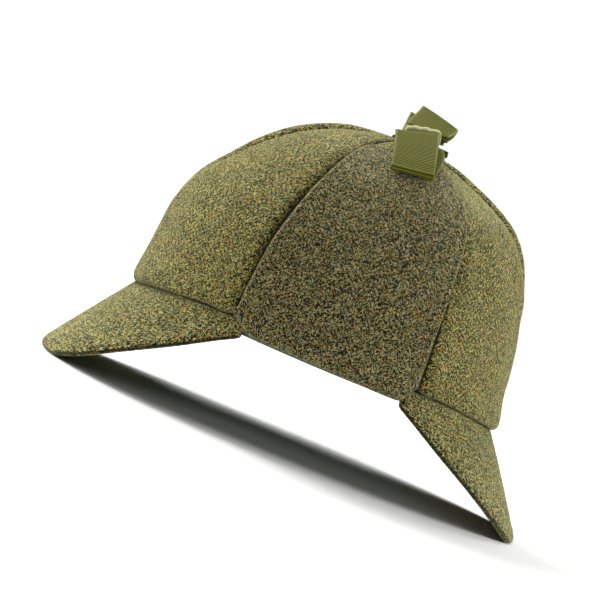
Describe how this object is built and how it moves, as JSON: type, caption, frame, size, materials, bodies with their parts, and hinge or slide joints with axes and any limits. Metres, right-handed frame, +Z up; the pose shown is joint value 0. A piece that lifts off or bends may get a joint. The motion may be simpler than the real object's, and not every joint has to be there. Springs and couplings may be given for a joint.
{
  "type": "deerstalker hat",
  "caption": "tweed deerstalker hat with front and back peaks, ear flaps folded up and tied over the crown with a ribbon bow, open below for the wearer's head",
  "frame": {"origin": "on the surface the hat rests on, under the middle of its outline", "axes": "-Y is the wearer's front, +X the wearer's left, +Z up; the hat rests level on the lower edges of its two peaks"},
  "size_m": [0.1928, 0.283, 0.2011],
  "materials": {
    "crown_tweed": "green-brown herringbone tweed",
    "peak_tweed": "green-brown herringbone tweed over a stiff board",
    "flap_tweed": "green-brown herringbone tweed, two layers",
    "ribbon": "olive grosgrain ribbon with cross ribs",
    "sweatband": "dark green satin"
  },
  "bodies": {
    "root": {"gore_front_left": "crown_tweed", "gore_side_left": "crown_tweed", "gore_back_left": "crown_tweed", "gore_back_right": "crown_tweed", "gore_side_right": "crown_tweed", "gore_front_right": "crown_tweed", "front_peak": "peak_tweed", "back_peak": "peak_tweed", "ear_flap_left": "flap_tweed", "ear_flap_right": "flap_tweed", "sweatband": "sweatband", "bow_knot": "ribbon", "bow_loop_left": "ribbon", "bow_loop_right": "ribbon", "bow_tail_upper": "ribbon", "bow_tail_lower": "ribbon", "tie_left": "ribbon", "tie_right": "ribbon"}
  },
  "joints": []
}
